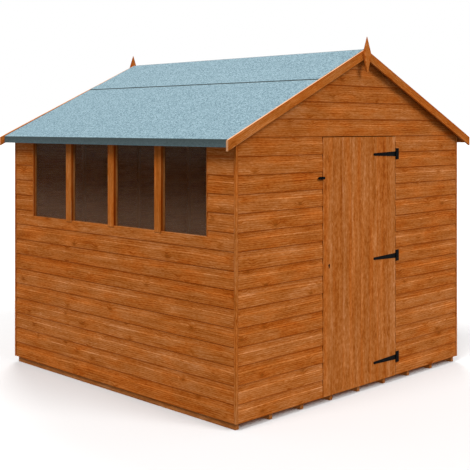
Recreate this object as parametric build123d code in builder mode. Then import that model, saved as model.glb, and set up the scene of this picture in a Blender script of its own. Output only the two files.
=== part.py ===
"""Wooden apex garden shed: shiplap walls, a boarded door, a four-light side window and a felted roof.

Millimetres. +Z is up and the ground is z = 0. The door gable faces -Y and the window wall faces -X.
The origin lies on the ground, under the middle of the plan.
"""

import os
from math import cos, radians, tan

from build123d import *

os.makedirs("parts", exist_ok=True)

# Overall size
shed_width = 2400.0  # over the cladding of the two side walls
shed_length = 2400.0  # over the cladding of the two gable walls
eaves_height = 1748.0  # ground to the underside of the roof deck, at a side wall's outer face
roof_pitch = 25.2  # degrees

# Floor
bearer_height = 44.0
bearer_width = 30.0
bearer_count = 9
bearer_set_back = 4.0  # bearer ends behind the edge of the floor
floor_thickness = 12.0
floor_inset = 18.0  # floor edge behind the face of the cladding

# Walls
cladding_thickness = 12.0
cladding_drop = 14.0  # cladding below the upper face of the floor
board_cover = 113.0  # height of one course of boards
stud_size = 28.0  # square section of studs and rails
middle_studs = 3  # studs between the end studs of a plain wall
corner_strip_size = 18.0
corner_strip_proud = 2.0

# Window in the left wall
window_courses = 9  # whole courses of boards below the window
window_rise = 72.0  # foot of the window above the joint of those courses
window_width = 1896.0
light_count = 4
mullion_width = 66.0
mullion_proud = 4.0  # mullions stand in front of the cladding
mullion_lap = 10.0  # mullion feet over the board below the window
glass_thickness = 3.0
glass_set_back = 4.0  # glass behind the outer face of the wall's frame

# Door in the front wall
door_opening_width = 806.0
door_gap = 5.0
ledge_inset = 30.0  # ledge ends behind the door's edges
ledge_height = 95.0
ledge_thickness = 22.0
brace_cut_length = 130.0  # level cut at the end of a brace
brace_edge_inset = 10.0  # brace ends inside the ledge ends
keyhole_setback = 61.0  # keyhole axis from the latch edge of the door
keyhole_rise = 3.0  # keyhole above the middle line of the middle ledge
keyhole_radius = 6.0
keyhole_slot_width = 8.0
keyhole_slot_drop = 16.0
lock_width = 62.0
lock_height = 88.0
lock_thickness = 18.0
lock_corner_radius = 4.0

# Tee hinges
lower_hinge_rise = 129.0  # lower hinge above the foot of the door
upper_hinge_drop = 127.0  # upper hinge below the head of the doorway
hinge_leaf_thickness = 2.5
hinge_plate_width = 32.0
hinge_plate_height = 78.0
hinge_barrel_radius = 4.0
hinge_barrel_gap = 0.4  # between neighbouring knuckles
hinge_pin_radius = 2.4
hinge_pin_clearance = 0.05
strap_length = 260.0
strap_root_height = 34.0
strap_tip_height = 17.0

# Turn button
button_length = 63.0
button_height = 18.0
button_thickness = 8.0
button_drop = 269.0  # below the head of the doorway
button_pivot_setback = 20.0  # pivot axis from the edge of the doorway
button_standoff = 6.0  # gap behind the button
button_pin_radius = 3.0
button_pin_clearance = 0.05
button_play = 0.3  # on either side of the button, along its pin
button_washer_radius = 8.0
button_head_radius = 6.0
button_head_thickness = 2.5
button_edge_fillet = 2.0

# Roof
eaves_overhang = 72.0  # deck beyond a side wall's outer face, measured level
gable_overhang = 29.0  # deck beyond a gable wall's outer face
deck_thickness = 12.0
felt_thickness = 3.0
felt_cap_reach = 474.0  # ridge to the edge of the cap sheet, measured level
felt_lap = 70.0  # cap sheet over a slope sheet, measured level
felt_step = 6.0  # level run in which the cap sheet climbs onto a slope sheet
purlin_width = 28.0
purlin_depth = 44.0
ridge_purlin_depth = 70.0
eaves_batten_width = 28.0
eaves_batten_depth = 34.0
bargeboard_width = 58.0
bargeboard_thickness = 16.0
bargeboard_upstand = 10.0  # bargeboard's tail above the line of the felt, measured plumb
bargeboard_sag = 12.0  # joint of two bargeboards below a line parallel to the felt
bargeboard_tail = 38.0  # bargeboard beyond the end of the deck, measured level
finial_width = 78.0
finial_thickness = 14.0
finial_tip_thickness = 3.0
finial_upper = 114.0  # widest point to the top
finial_lower = 124.0  # widest point to the foot
finial_shoulder_rise = 32.0  # widest point above the bargeboards' lower edge at the apex

# Extra length of a cutting tool beyond the piece that it cuts
overrun = 5.0

# Places worked out from the sizes
half_width = shed_width / 2
half_length = shed_length / 2
frame_half_width = half_width - cladding_thickness
frame_half_length = half_length - cladding_thickness
inner_half_width = frame_half_width - stud_size
inner_half_length = frame_half_length - stud_size
panel_half_width = half_width + corner_strip_proud - corner_strip_size
panel_half_length = half_length + corner_strip_proud - corner_strip_size
floor_top = bearer_height + floor_thickness
cladding_foot = floor_top - cladding_drop
stud_foot = floor_top + stud_size
top_rail_foot = eaves_height - stud_size
slope = tan(radians(roof_pitch))
plumb = 1 / cos(radians(roof_pitch))  # plumb height of a layer for each unit of its thickness
deck_rise = deck_thickness * plumb
felt_rise = felt_thickness * plumb
deck_half_width = half_width + eaves_overhang
deck_half_length = half_length + gable_overhang
stud_half = stud_size / 2


def deck_under(x):
    """Height of the underside of the roof deck."""
    return eaves_height + (half_width - abs(x)) * slope


def deck_top(x):
    """Height of the upper face of the roof deck."""
    return deck_under(x) + deck_rise


def gable_rail_under(x):
    """Height of the underside of the sloping rails of a gable frame."""
    return deck_under(x) - stud_size * plumb


def save(piece, name):
    """Names a finished piece and writes its file."""
    piece.part.label = name
    export_step(piece.part, f"parts/{name}.step")


# Floor bearers
bearer_run = 2 * (half_width - floor_inset) - bearer_width
with BuildPart() as floor_bearers:
    with GridLocations(bearer_run / (bearer_count - 1), 0, bearer_count, 1):
        Box(
            bearer_width,
            2 * (half_length - floor_inset - bearer_set_back),
            bearer_height,
            align=(Align.CENTER, Align.CENTER, Align.MIN),
        )
save(floor_bearers, "floor_bearers")

# Floor
with BuildPart() as floor:
    with BuildSketch(Plane.XY.offset(bearer_height)):
        Rectangle(2 * (half_width - floor_inset), 2 * (half_length - floor_inset))
    extrude(amount=floor_thickness)
save(floor, "floor")

# Side walls, with the window cut through the left one
window_foot = cladding_foot + window_courses * board_cover + window_rise
window_head = top_rail_foot
window_height = window_head - window_foot
window_middle = (window_foot + window_head) / 2
for side, name in ((-1, "left_wall"), (1, "right_wall")):
    with BuildPart() as side_wall:
        with BuildSketch(Plane.XZ):
            with BuildLine():
                Polyline(
                    (side * frame_half_width, cladding_foot),
                    (side * half_width, cladding_foot),
                    (side * half_width, deck_under(half_width)),
                    (side * frame_half_width, deck_under(frame_half_width)),
                    close=True,
                )
            make_face()
        extrude(amount=panel_half_length, both=True)
        if name == "left_wall":
            with BuildSketch(Plane.YZ.offset(-half_width - overrun)):
                with Locations((0, window_middle)):
                    Rectangle(window_width, window_height)
            extrude(amount=cladding_thickness + 2 * overrun, mode=Mode.SUBTRACT)
    save(side_wall, name)

# Back wall
with BuildPart() as back_wall:
    with BuildSketch(Plane.XZ.offset(-half_length)):
        with BuildLine():
            Polyline(
                (-panel_half_width, cladding_foot),
                (panel_half_width, cladding_foot),
                (panel_half_width, deck_under(panel_half_width)),
                (0, deck_under(0)),
                (-panel_half_width, deck_under(panel_half_width)),
                close=True,
            )
        make_face()
    extrude(amount=cladding_thickness)
save(back_wall, "back_wall")

# Front wall, split beside and over the doorway, which is as many whole courses high as the eaves allow
door_courses = (eaves_height - cladding_foot) // board_cover
door_head = cladding_foot + door_courses * board_cover
door_jamb = door_opening_width / 2
for side, name in ((-1, "front_wall_left"), (1, "front_wall_right")):
    with BuildPart() as front_wall:
        with BuildSketch(Plane.XZ.offset(frame_half_length)):
            with Locations((side * (door_jamb + panel_half_width) / 2, (cladding_foot + door_head) / 2)):
                Rectangle(panel_half_width - door_jamb, door_head - cladding_foot)
        extrude(amount=cladding_thickness)
    save(front_wall, name)

with BuildPart() as front_gable:
    with BuildSketch(Plane.XZ.offset(frame_half_length)):
        with BuildLine():
            Polyline(
                (-panel_half_width, door_head),
                (panel_half_width, door_head),
                (panel_half_width, deck_under(panel_half_width)),
                (0, deck_under(0)),
                (-panel_half_width, deck_under(panel_half_width)),
                close=True,
            )
        make_face()
    extrude(amount=cladding_thickness)
save(front_gable, "front_gable")

# Corner strips, cut to the slope of the roof at the top
with BuildPart() as corner_strips:
    for plane in (Plane.XZ.offset(panel_half_length), Plane.XZ.offset(-half_length - corner_strip_proud)):
        with BuildSketch(plane):
            with BuildLine():
                Polyline(
                    (panel_half_width, cladding_foot),
                    (half_width + corner_strip_proud, cladding_foot),
                    (half_width + corner_strip_proud, deck_under(half_width + corner_strip_proud)),
                    (panel_half_width, deck_under(panel_half_width)),
                    close=True,
                )
            make_face()
            mirror(about=Plane.YZ)
        extrude(amount=corner_strip_size)
save(corner_strips, "corner_strips")

# Window mullions, lapping the board below them, and glass
mullion_pitch = (window_width + mullion_width) / light_count
light_width = mullion_pitch - mullion_width
with BuildPart() as window_mullions:
    with BuildSketch(Plane.YZ.offset(-half_width)):
        with Locations((0, window_middle)):
            with GridLocations(mullion_pitch, 0, light_count - 1, 1):
                Rectangle(mullion_width, window_height)
    extrude(amount=cladding_thickness + stud_size)
    with BuildSketch(Plane.YZ.offset(-half_width)):
        with Locations((0, window_middle - mullion_lap / 2)):
            with GridLocations(mullion_pitch, 0, light_count - 1, 1):
                Rectangle(mullion_width, window_height + mullion_lap)
    extrude(amount=-mullion_proud)
save(window_mullions, "window_mullions")

with BuildPart() as window_panes:
    with BuildSketch(Plane.YZ.offset(-frame_half_width + glass_set_back)):
        with Locations((0, window_middle)):
            with GridLocations(mullion_pitch, 0, light_count, 1):
                Rectangle(light_width, window_height)
    extrude(amount=glass_thickness)
save(window_panes, "window_panes")

# Frames of the side walls: rails along the foot and the eaves, and a rail under the window
rail_centre = (frame_half_width + inner_half_width) / 2
end_stud_y = panel_half_length - stud_half
for side, name in ((-1, "left_wall_rails"), (1, "right_wall_rails")):
    with BuildPart() as side_rails:
        with BuildSketch(Plane.XZ):
            with Locations((side * rail_centre, floor_top + stud_half)):
                Rectangle(stud_size, stud_size)
            with BuildLine():
                Polyline(
                    (side * inner_half_width, top_rail_foot),
                    (side * frame_half_width, top_rail_foot),
                    (side * frame_half_width, deck_under(frame_half_width)),
                    (side * inner_half_width, deck_under(inner_half_width)),
                    close=True,
                )
            make_face()
        extrude(amount=panel_half_length, both=True)
        if name == "left_wall_rails":
            with Locations((-rail_centre, 0, window_foot - stud_half)):
                Box(stud_size, window_width, stud_size)
    save(side_rails, name)

window_jamb_y = window_width / 2 + stud_half
with BuildPart() as left_wall_studs:
    with BuildSketch(Plane.XY.offset(stud_foot)):
        for y in (end_stud_y, window_jamb_y):
            with Locations((-rail_centre, -y), (-rail_centre, y)):
                Rectangle(stud_size, stud_size)
    extrude(amount=top_rail_foot - stud_foot)
    with BuildSketch(Plane.XY.offset(stud_foot)):
        with Locations((-rail_centre, 0)):
            with GridLocations(0, mullion_pitch, 1, light_count - 1):
                Rectangle(stud_size, stud_size)
    extrude(amount=window_foot - stud_size - stud_foot)
save(left_wall_studs, "left_wall_studs")

with BuildPart() as right_wall_studs:
    with BuildSketch(Plane.XY.offset(stud_foot)):
        with Locations((rail_centre, 0)):
            with GridLocations(0, 2 * end_stud_y / (middle_studs + 1), 1, middle_studs + 2):
                Rectangle(stud_size, stud_size)
    extrude(amount=top_rail_foot - stud_foot)
save(right_wall_studs, "right_wall_studs")

# Frames of the gable walls: sloping rails under the deck, foot rails, and studs cut to the slope
end_stud_x = inner_half_width - stud_half
front_frame = Plane.XZ.offset(inner_half_length)
back_frame = Plane.XZ.offset(-frame_half_length)
front_foot_length = inner_half_width - door_jamb
for plane, name in ((front_frame, "front_wall_rails"), (back_frame, "back_wall_rails")):
    with BuildPart() as gable_rails:
        with BuildSketch(plane):
            with BuildLine():
                Polyline(
                    (stud_half, deck_under(stud_half)),
                    (inner_half_width, deck_under(inner_half_width)),
                    (inner_half_width, gable_rail_under(inner_half_width)),
                    (stud_half, gable_rail_under(stud_half)),
                    close=True,
                )
            make_face()
            mirror(about=Plane.YZ)
            if name == "front_wall_rails":
                with Locations((0, floor_top + stud_half)):
                    with GridLocations(2 * door_jamb + front_foot_length, 0, 2, 1):
                        Rectangle(front_foot_length, stud_size)
                with Locations((0, door_head + stud_half)):
                    Rectangle(door_opening_width, stud_size)
            else:
                with Locations((0, floor_top + stud_half)):
                    Rectangle(2 * inner_half_width, stud_size)
        extrude(amount=stud_size)
    save(gable_rails, name)

door_stud_x = door_jamb + stud_half
front_stud_places = (door_stud_x, (door_stud_x + end_stud_x) / 2, end_stud_x)
back_stud_places = (end_stud_x / 2, end_stud_x)
for plane, name, places, king_foot in (
    (front_frame, "front_wall_studs", front_stud_places, door_head + stud_size),
    (back_frame, "back_wall_studs", back_stud_places, stud_foot),
):
    with BuildPart() as gable_studs:
        with BuildSketch(plane):
            for x in places:
                with BuildLine():
                    Polyline(
                        (x - stud_half, stud_foot),
                        (x + stud_half, stud_foot),
                        (x + stud_half, gable_rail_under(x + stud_half)),
                        (x - stud_half, gable_rail_under(x - stud_half)),
                        close=True,
                    )
                make_face()
            mirror(about=Plane.YZ)
            with BuildLine():
                Polyline(
                    (-stud_half, king_foot),
                    (stud_half, king_foot),
                    (stud_half, deck_under(stud_half)),
                    (0, deck_under(0)),
                    (-stud_half, deck_under(stud_half)),
                    close=True,
                )
            make_face()
        extrude(amount=stud_size)
    save(gable_studs, name)

# Roof purlins, set square to the slope, and the ridge purlin
purlin_x = inner_half_width / 2
with BuildPart() as roof_purlins:
    for side in (-1, 1):
        seat = (side * purlin_x, 0, deck_under(purlin_x))
        with BuildSketch(Plane(origin=seat, x_dir=(1, 0, -side * slope), z_dir=(0, -1, 0))):
            Rectangle(purlin_width, purlin_depth, align=(Align.CENTER, Align.MAX))
        extrude(amount=inner_half_length, both=True)
save(roof_purlins, "roof_purlins")

with BuildPart() as ridge_purlin:
    with BuildSketch(Plane.XZ):
        with BuildLine():
            Polyline(
                (-purlin_width / 2, deck_under(0) - ridge_purlin_depth),
                (purlin_width / 2, deck_under(0) - ridge_purlin_depth),
                (purlin_width / 2, deck_under(purlin_width / 2)),
                (0, deck_under(0)),
                (-purlin_width / 2, deck_under(purlin_width / 2)),
                close=True,
            )
        make_face()
    extrude(amount=inner_half_length, both=True)
save(ridge_purlin, "ridge_purlin")

# Roof deck and the battens under its eaves
eaves_batten_foot = deck_under(deck_half_width) - eaves_batten_depth
for side, name in ((-1, "roof_deck_left"), (1, "roof_deck_right")):
    with BuildPart() as roof_deck:
        with BuildSketch(Plane.XZ):
            with BuildLine():
                Polyline(
                    (0, deck_under(0)),
                    (0, deck_top(0)),
                    (side * deck_half_width, deck_top(deck_half_width)),
                    (side * deck_half_width, deck_under(deck_half_width)),
                    close=True,
                )
            make_face()
        extrude(amount=deck_half_length, both=True)
    save(roof_deck, name)

with BuildPart() as eaves_battens:
    with BuildSketch(Plane.XZ):
        with BuildLine():
            Polyline(
                (deck_half_width, eaves_batten_foot),
                (deck_half_width, deck_under(deck_half_width)),
                (deck_half_width - eaves_batten_width, deck_under(deck_half_width - eaves_batten_width)),
                (deck_half_width - eaves_batten_width, eaves_batten_foot),
                close=True,
            )
        make_face()
        mirror(about=Plane.YZ)
    extrude(amount=deck_half_length, both=True)
save(eaves_battens, "eaves_battens")

# Felt: a sheet on each slope, folded down over the eaves, and a cap sheet over the ridge
felt_head = felt_cap_reach - felt_lap
felt_face = deck_half_width + felt_thickness
for side, name in ((-1, "roof_felt_left"), (1, "roof_felt_right")):
    with BuildPart() as slope_felt:
        with BuildSketch(Plane.XZ):
            with BuildLine():
                Polyline(
                    (side * felt_head, deck_top(felt_head)),
                    (side * felt_head, deck_top(felt_head) + felt_rise),
                    (side * felt_face, deck_top(felt_face) + felt_rise),
                    (side * felt_face, eaves_batten_foot),
                    (side * deck_half_width, eaves_batten_foot),
                    (side * deck_half_width, deck_top(deck_half_width)),
                    close=True,
                )
            make_face()
        extrude(amount=deck_half_length, both=True)
        outer_edges = slope_felt.edges().filter_by(Axis.Y).sort_by(Axis.X, reverse=side < 0)[-2:]
        fillet(outer_edges.sort_by(Axis.Z)[-1], radius=felt_thickness)
    save(slope_felt, name)

with BuildPart() as roof_felt_ridge:
    with BuildSketch(Plane.XZ):
        with BuildLine():
            Polyline(
                (0, deck_top(0)),
                (felt_head, deck_top(felt_head)),
                (felt_head, deck_top(felt_head) + felt_rise),
                (felt_cap_reach, deck_top(felt_cap_reach) + felt_rise),
                (felt_cap_reach, deck_top(felt_cap_reach) + 2 * felt_rise),
                (felt_head, deck_top(felt_head) + 2 * felt_rise),
                (felt_head - felt_step, deck_top(felt_head - felt_step) + felt_rise),
                (0, deck_top(0) + felt_rise),
            )
            mirror(about=Plane.YZ)
        make_face()
    extrude(amount=deck_half_length, both=True)
save(roof_felt_ridge, "roof_felt_ridge")

# Bargeboards, with plumb cuts at the apex and the tails, a little less steep than the deck
bargeboard_end = deck_half_width + bargeboard_tail
bargeboard_drop = bargeboard_width * plumb
bargeboard_apex = deck_top(0) + felt_rise + bargeboard_upstand - bargeboard_sag
bargeboard_tail_top = deck_top(bargeboard_end) + felt_rise + bargeboard_upstand
for side, hand in ((-1, "left"), (1, "right")):
    for end, plane in (
        ("front", Plane.XZ.offset(deck_half_length)),
        ("back", Plane.XZ.offset(-deck_half_length - bargeboard_thickness)),
    ):
        with BuildPart() as bargeboard:
            with BuildSketch(plane):
                with BuildLine():
                    Polyline(
                        (0, bargeboard_apex),
                        (side * bargeboard_end, bargeboard_tail_top),
                        (side * bargeboard_end, bargeboard_tail_top - bargeboard_drop),
                        (0, bargeboard_apex - bargeboard_drop),
                        close=True,
                    )
                make_face()
            extrude(amount=bargeboard_thickness)
        save(bargeboard, f"bargeboard_{end}_{hand}")

# Finials over the bargeboards' joints: kites that thin towards the tip
finial_shoulder = bargeboard_apex - bargeboard_drop + finial_shoulder_rise
finial_tip = finial_shoulder + finial_upper
finial_foot = finial_shoulder - finial_lower
finial_face = deck_half_length + bargeboard_thickness
for side, plane, name in (
    (-1, Plane.XZ.offset(finial_face), "finial_front"),
    (1, Plane.XZ.offset(-finial_face - finial_thickness), "finial_back"),
):
    middle = side * (finial_face + finial_thickness / 2)
    with BuildPart() as finial:
        with BuildSketch(plane):
            with BuildLine():
                Polyline((0, finial_tip), (finial_width / 2, finial_shoulder), (0, finial_foot))
                mirror(about=Plane.YZ)
            make_face()
        extrude(amount=finial_thickness)
        with BuildSketch(Plane.YZ):
            with BuildLine():
                Polyline(
                    (middle - finial_thickness / 2, finial_foot),
                    (middle + finial_thickness / 2, finial_foot),
                    (middle + finial_thickness / 2, finial_shoulder),
                    (middle + finial_tip_thickness / 2, finial_tip),
                    (middle - finial_tip_thickness / 2, finial_tip),
                    (middle - finial_thickness / 2, finial_shoulder),
                    close=True,
                )
            make_face()
        extrude(amount=finial_width / 2 + overrun, both=True, mode=Mode.INTERSECT)
    save(finial, name)

# Door, with a keyhole through it and through the middle ledge behind it
door_half_width = door_jamb - door_gap
hinge_x = door_half_width + door_gap / 2
lower_hinge = cladding_foot + lower_hinge_rise
upper_hinge = door_head - upper_hinge_drop
middle_hinge = (lower_hinge + upper_hinge) / 2
hinge_heights = (lower_hinge, middle_hinge, upper_hinge)
keyhole_x = keyhole_setback - door_half_width
keyhole_height = middle_hinge + keyhole_rise
with BuildSketch(Plane.XZ.offset(inner_half_length)) as keyhole:
    with Locations((keyhole_x, keyhole_height)):
        Circle(keyhole_radius)
        Rectangle(keyhole_slot_width, keyhole_slot_drop, align=(Align.CENTER, Align.MAX))

with BuildPart() as door:
    with BuildSketch(Plane.XZ.offset(frame_half_length)):
        with Locations((0, (cladding_foot + door_head - door_gap) / 2)):
            Rectangle(2 * door_half_width, door_head - door_gap - cladding_foot)
    extrude(amount=cladding_thickness)
    extrude(keyhole.sketch, amount=stud_size + cladding_thickness + overrun, mode=Mode.SUBTRACT)
save(door, "door")

ledge_half_width = door_half_width - ledge_inset
ledge_plane = Plane.XZ.offset(frame_half_length - ledge_thickness)
with BuildPart() as door_ledges:
    with BuildSketch(ledge_plane):
        with Locations(*((0, height) for height in hinge_heights)):
            Rectangle(2 * ledge_half_width, ledge_height)
    extrude(amount=ledge_thickness)
    extrude(keyhole.sketch, amount=stud_size + overrun, mode=Mode.SUBTRACT)
save(door_ledges, "door_ledges")

# Braces rise from the hinge side to the latch side, between one ledge and the next
brace_end = ledge_half_width - brace_edge_inset
with BuildPart() as door_braces:
    with BuildSketch(ledge_plane):
        for lower, upper in zip(hinge_heights, hinge_heights[1:]):
            with BuildLine():
                Polyline(
                    (brace_end, lower + ledge_height / 2),
                    (brace_end - brace_cut_length, lower + ledge_height / 2),
                    (-brace_end, upper - ledge_height / 2),
                    (-brace_end + brace_cut_length, upper - ledge_height / 2),
                    close=True,
                )
            make_face()
    extrude(amount=ledge_thickness)
save(door_braces, "door_braces")

# Lock case on the middle ledge, over the keyhole
lock_plane = Plane.XZ.offset(frame_half_length - ledge_thickness - lock_thickness)
with BuildPart() as door_lock:
    with BuildSketch(lock_plane):
        with Locations((keyhole_x, keyhole_height)):
            RectangleRounded(lock_width, lock_height, lock_corner_radius)
    extrude(amount=lock_thickness)
save(door_lock, "door_lock")

# Tee hinges: the strap on the door turns on a pin held by two knuckles of the plate on the wall
hinge_y = -half_length - hinge_barrel_radius
leaf_plane = Plane.XZ.offset(half_length)
knuckle_height = (hinge_plate_height - 2 * hinge_barrel_gap) / 3
knuckle_offset = (hinge_plate_height - knuckle_height) / 2
leaf_set_back = hinge_barrel_radius + hinge_barrel_gap  # leaf edge from the axis, clear of the other knuckles
plate_root = hinge_x + leaf_set_back
with BuildPart() as hinge_plates:
    with BuildSketch(leaf_plane):
        for height in hinge_heights:
            with Locations((plate_root, height)):
                Rectangle(hinge_plate_width, hinge_plate_height, align=(Align.MIN, Align.CENTER))
            with Locations((hinge_x, height - knuckle_offset), (hinge_x, height + knuckle_offset)):
                Rectangle(leaf_set_back, knuckle_height, align=(Align.MIN, Align.CENTER))
    extrude(amount=hinge_leaf_thickness)
    for height in hinge_heights:
        knuckles = [(hinge_x, hinge_y, height + offset) for offset in (-knuckle_offset, knuckle_offset)]
        with Locations(*knuckles):
            Cylinder(hinge_barrel_radius, knuckle_height)
        with Locations((hinge_x, hinge_y, height)):
            Cylinder(hinge_pin_radius, hinge_plate_height)
save(hinge_plates, "hinge_plates")

strap_root = hinge_x - leaf_set_back
with BuildPart() as hinge_straps:
    with BuildSketch(leaf_plane):
        for height in hinge_heights:
            with BuildLine():
                tip = hinge_x - strap_length
                tip_radius = strap_tip_height / 2
                Polyline(
                    (tip + tip_radius, height + tip_radius),
                    (strap_root, height + strap_root_height / 2),
                    (strap_root, height - strap_root_height / 2),
                    (tip + tip_radius, height - tip_radius),
                )
                ThreePointArc(
                    (tip + tip_radius, height - tip_radius),
                    (tip, height),
                    (tip + tip_radius, height + tip_radius),
                )
            make_face()
            with Locations((hinge_x, height)):
                Rectangle(leaf_set_back, knuckle_height, align=(Align.MAX, Align.CENTER))
    extrude(amount=hinge_leaf_thickness)
    for height in hinge_heights:
        with Locations((hinge_x, hinge_y, height)):
            Cylinder(hinge_barrel_radius, knuckle_height)
            Cylinder(hinge_pin_radius + hinge_pin_clearance, knuckle_height, mode=Mode.SUBTRACT)
save(hinge_straps, "hinge_straps")

# Turn button across the latch edge of the door, on a pin with a washer behind it and a head in front
button_x = -door_jamb - button_pivot_setback
button_z = door_head - button_drop
button_back = half_length + button_standoff
button_front = button_back + button_thickness
with BuildPart() as turn_button:
    with BuildSketch(Plane.XZ.offset(button_back)):
        with Locations((button_x, button_z)):
            SlotOverall(button_length, button_height)
            Circle(button_pin_radius + button_pin_clearance, mode=Mode.SUBTRACT)
    extrude(amount=button_thickness)
    fillet(turn_button.faces().sort_by(Axis.Y)[0].outer_wire().edges(), radius=button_edge_fillet)
save(turn_button, "turn_button")

pin_foot = half_length
head_foot = button_front + button_play
with BuildPart() as turn_button_pin:
    for radius, foot, top in (
        (button_washer_radius, pin_foot, button_back - button_play),
        (button_pin_radius, pin_foot, head_foot),
        (button_head_radius, head_foot, head_foot + button_head_thickness),
    ):
        with BuildSketch(Plane.XZ.offset(foot)):
            with Locations((button_x, button_z)):
                Circle(radius)
        extrude(amount=top - foot)
save(turn_button_pin, "turn_button_pin")
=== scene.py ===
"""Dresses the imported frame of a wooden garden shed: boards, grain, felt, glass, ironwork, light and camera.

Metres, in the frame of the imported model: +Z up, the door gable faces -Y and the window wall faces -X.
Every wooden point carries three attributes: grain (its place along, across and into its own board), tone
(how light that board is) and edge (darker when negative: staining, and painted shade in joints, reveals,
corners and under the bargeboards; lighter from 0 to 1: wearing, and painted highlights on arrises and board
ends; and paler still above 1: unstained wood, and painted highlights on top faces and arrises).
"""

import random
from math import asin, cos, pi, radians, sin, tan

import bmesh
import bpy
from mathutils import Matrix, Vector, noise


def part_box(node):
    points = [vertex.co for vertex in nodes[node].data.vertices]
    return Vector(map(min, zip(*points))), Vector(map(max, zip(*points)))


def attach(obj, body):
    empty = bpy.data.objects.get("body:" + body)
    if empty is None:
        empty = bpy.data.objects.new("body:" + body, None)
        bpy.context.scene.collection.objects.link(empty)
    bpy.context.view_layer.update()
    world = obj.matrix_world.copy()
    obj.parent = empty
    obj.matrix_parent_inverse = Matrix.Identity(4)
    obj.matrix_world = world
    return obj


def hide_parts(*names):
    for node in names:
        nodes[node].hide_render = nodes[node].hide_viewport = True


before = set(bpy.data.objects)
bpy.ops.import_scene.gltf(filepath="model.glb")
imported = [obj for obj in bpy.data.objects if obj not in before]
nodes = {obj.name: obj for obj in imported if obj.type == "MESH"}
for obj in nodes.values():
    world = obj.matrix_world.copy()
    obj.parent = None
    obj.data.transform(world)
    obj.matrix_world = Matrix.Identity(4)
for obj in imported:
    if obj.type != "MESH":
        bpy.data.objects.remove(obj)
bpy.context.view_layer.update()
pane_low, pane_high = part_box("window_panes")

# Mesh tolerances
join_distance = 1e-6
weld_distance = 1e-5
flat_angle = radians(1)
sharp_angle = radians(25)
iron_sharp_angle = radians(35)

# Random looks of boards
tone_spread = 0.4
grain_room = 40
sway_room = 100

# Shiplap boards
board_cover = 0.113
cladding_thickness = 0.012
flat_height = 0.0712  # plain face below the cove
lip_back = 0.0085
lip_round = 0.0012
# Darkening above the foot of each lip: staining and painted shade in the joint.
lip_stain_and_shade_height = 0.0075
arris_round = 0.0018
# In the cove, edge values give wearing and a painted highlight at the arris, and staining and painted shade
# towards the next lip.
cove_shares = (  # of the cove's depth and height, with edge values
    (0.60, 0.05, 0.4),
    (0.44, 0.13, -0.06),
    (0.28, 0.26, -0.11),
    (0.15, 0.43, -0.12),
    (0.06, 0.65, -0.10),
    (0.02, 0.82, -0.16),
    (0.00, 0.92, -0.50),
)
tongue_thickness = 0.0078
tongue_rise = 0.0062
rebate_height = 0.008
board_end_gap = 0.002
side_wall_gap = 0.004  # under the roof
apex_gap = 0.002
least_course = 1e-4  # a lower strip gets no board
end_change_length = 0.006
end_stain = 0.4
# Darkening of the gable boards' ends under the bargeboards: end staining and painted shade of the
# bargeboards.
gable_end_stain_and_shade = 0.5
left_of_door_stains = (0.25, 0.6)
# The boards right of the door are lighter at the doorway end, a painted highlight on board ends in the door
# gap's shade, and darker with staining at the wall end.
right_of_door_stain_and_light = (-0.6, 0.25)
cut_wear = 0.9
gable_inner_share = 0.96
station_spacing = 0.28
sway_up = 0.0005
sway_out = 0.0002
sway_up_pace = 0.9  # waves per metre
sway_out_pace = 0.7
sway_out_layer = 5.0  # keeps the two noises apart

# Tongued and grooved planks of the door, floor and roof
plank_arris = 0.0008
plank_gap = 0.0003
plank_tongue = 0.004
groove_shares = (0.36, 0.64)  # of the thickness
plank_joint_stain = -0.5
door_joint_stain = -0.22
door_plank_count = 8
floor_plank_count = 21
deck_plank_count = 14

# Keyhole
keyhole_radius = 0.009
keyhole_slot_half = 0.0055
keyhole_slot_drop = 0.019
keyhole_setback = 0.061
keyhole_mouth = asin(keyhole_slot_half / keyhole_radius)  # half angle where the slot meets the round hole
keyhole_steps = 14
keyhole_depth = 0.0015  # board's face to the lock's black metal
keyhole_metal_share = 0.97
cut_overrun = 0.01

# Sticks of timber
timber_arris = 0.0018
arris_profile = 0.6
# Lighter margins along the arrises of sticks: wearing and painted highlights; the mullions' side faces
# darkened as painted shade.
wear_and_highlight_margin = 0.0035
corner_wear_and_highlight = 0.4
mullion_wear_and_highlight = 0.2
mullion_reveal_shade = 0.8
facing_share = 0.9  # of a normal along Y
upright_share = 0.7  # of a stick's direction along Z

# Roof
roof_pitch = radians(25.2)
slope = tan(roof_pitch)
deck_thickness = 0.012
bargeboard_depth = 0.064  # measured upright
bargeboard_ease = 0.002
bargeboard_tail_lightness = 1.3
finial_shoulder = 0.114  # below the tip
finial_shoulder_half = 0.004
finial_tip_half = 0.0012
finial_foot_half = 0.006
finial_least_half = 0.0004
finial_tip_thickness = 0.003
finial_ease = 0.0015
finial_spread_share = 0.5  # inner ring on a face
finial_rim_darkening = -0.45
finial_face_wear = 0.1

# Felt, with rises measured upright and edge values last in each row
felt_rise = 0.0033
felt_skin = 0.0026
felt_station_spacing = 0.12
felt_slope_spacing = 0.15
felt_slope_margin = 0.1
felt_ripple_pace = (2.3, 2.0)  # waves per metre along and across
felt_slack = 0.0006
cap_slack = 0.0005
fold_slack = 0.0004
hem_slack = 0.0008
hem_height = 0.004
lap_line = ((-0.003, 0.0), (0.0, -0.9), (0.007, -0.9), (0.010, 0.0))  # out from the cap's edge
# A painted highlight on the felt just above the eaves fold.
eaves_line = ((0.014, 0.0), (0.008, 0.55), (0.0032, 0.65))  # in from the eaves
eaves_fold = ((0.0009, 0.0014, -0.75), (0.0, 0.0050, -1.0), (0.0, 0.0120, -0.92))  # in from the eaves, down
cap_line = ((0.0, -0.9), (0.003, 0.3), (0.012, 0.0))  # in from the cap's edge
cap_lap_inset = 0.008
cap_step = 0.02
cap_lift = 2.0  # in sheets
cap_step_lift = 1.15
cap_crown = ((0.2, 1.05, 0.0), (0.03, 1.0, 0.0), (0.012, 0.95, 0.1))  # reach and lift in sheets
cap_bed_lift = 1.02
cap_bed_step = 0.01
cap_bed_gap = 0.0003

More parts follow.
